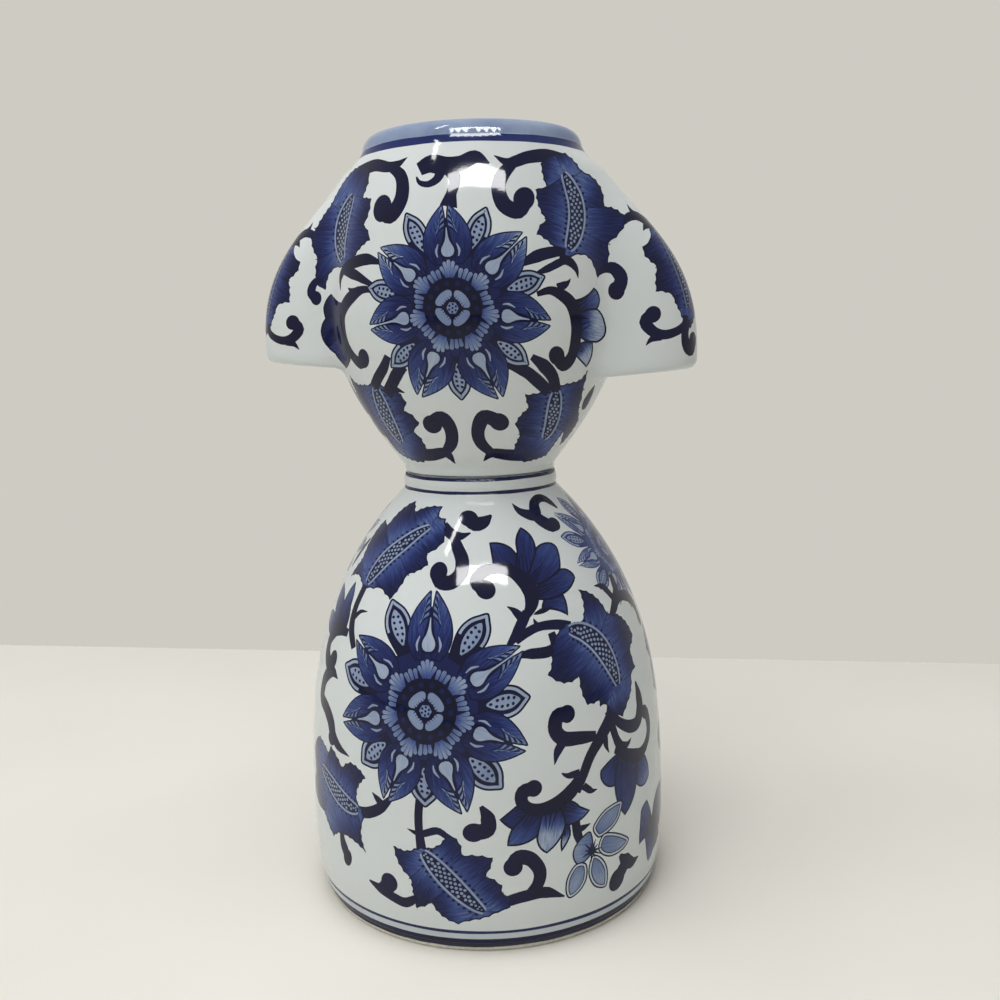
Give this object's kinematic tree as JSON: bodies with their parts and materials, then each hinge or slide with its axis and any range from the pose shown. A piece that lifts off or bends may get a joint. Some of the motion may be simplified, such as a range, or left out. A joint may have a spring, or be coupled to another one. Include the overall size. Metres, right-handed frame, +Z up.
{
  "type": "dress form vase",
  "caption": "Glazed porcelain flower vase shaped as a short-sleeved dress, with a bell skirt, beaded waist, oval bodice, cap sleeves and an open rolled neck.",
  "frame": {"origin": "on the table, under the middle of the foot ring", "axes": "+Z up from the foot to the neck, the dress's front faces -Y and its sleeves reach along +X and -X"},
  "size_m": [0.1274, 0.1072, 0.2199],
  "materials": {
    "glaze": "clear gloss glaze over cobalt blue painting on white porcelain",
    "blue_rim": "clear gloss glaze over a pale cobalt wash",
    "bare_foot": "unglazed porcelain, ground flat"
  },
  "bodies": {
    "root": {"foot_ring": "bare_foot", "vase_floor": "glaze", "skirt_shell": "glaze", "waist_collar": "glaze", "bodice_shell": "glaze", "left_sleeve": "glaze", "right_sleeve": "glaze", "neck_lip": "blue_rim"}
  },
  "joints": []
}
